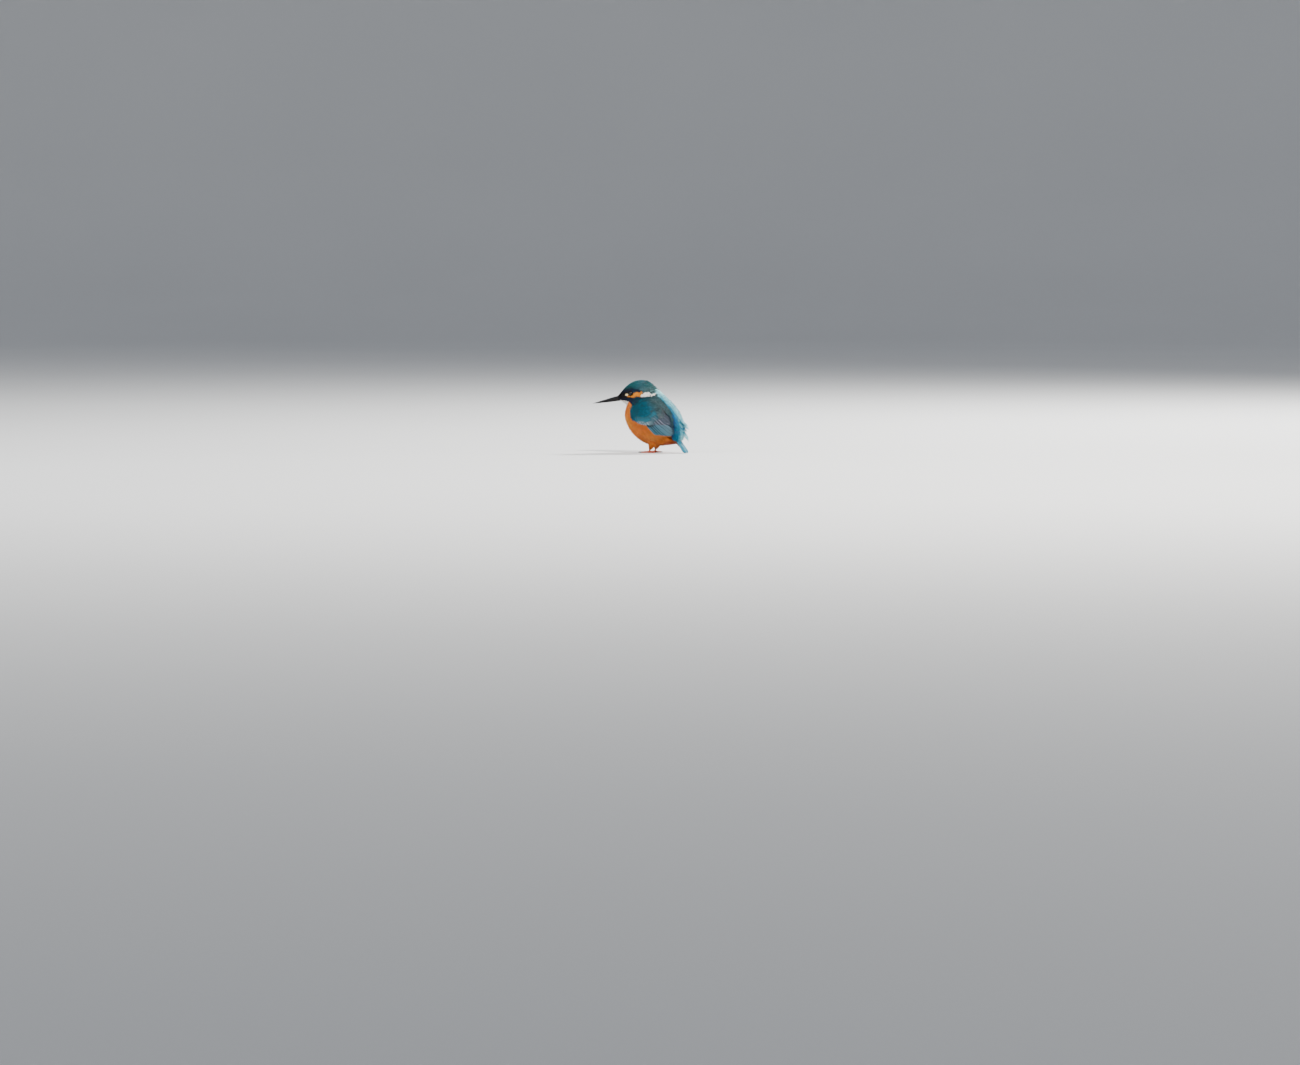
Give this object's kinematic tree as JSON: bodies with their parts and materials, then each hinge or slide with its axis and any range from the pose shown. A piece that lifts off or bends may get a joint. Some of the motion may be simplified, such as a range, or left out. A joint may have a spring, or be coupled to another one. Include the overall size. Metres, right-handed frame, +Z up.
{
  "type": "kingfisher bird model",
  "caption": "Still life-size kingfisher with fluffed plumage, dagger bill, folded wings and short tail, standing on its toes and tail tip with its head turned.",
  "frame": {"origin": "on the floor, under the middle of the model's length and width", "axes": "+X towards the tail, -X the way the body faces, -Y the bird's left, +Z up"},
  "size_m": [0.1233, 0.0514, 0.0908],
  "materials": {
    "crown_feathers": "deep teal feathers with bright blue bars",
    "neck_feathers": "white neck patch and throat, rufous and teal feathers",
    "breast_feathers": "soft orange feathers with a turquoise back",
    "rump_feathers": "silky azure plumes",
    "wing_feathers": "dark teal feathers with pale blue edges",
    "tail_feathers": "bright blue feathers",
    "horn": "smooth black horn",
    "leg_skin": "coral red scaly skin",
    "eye": "wet dark brown eye"
  },
  "bodies": {
    "root": {"bill_lower": "horn", "bill_upper": "horn", "claw_left_hind": "horn", "claw_left_inner": "horn", "claw_left_middle": "horn", "claw_left_outer": "horn", "claw_right_hind": "horn", "claw_right_inner": "horn", "claw_right_middle": "horn", "claw_right_outer": "horn", "eye_left": "eye", "eye_right": "eye", "foot_left": "leg_skin", "foot_right": "leg_skin", "head": "crown_feathers", "neck": "neck_feathers", "rump": "rump_feathers", "tail": "tail_feathers", "tarsus_left": "leg_skin", "tarsus_right": "leg_skin", "thigh_left": "breast_feathers", "thigh_right": "breast_feathers", "torso": "breast_feathers", "wing_left": "wing_feathers", "wing_right": "wing_feathers"}
  },
  "joints": []
}
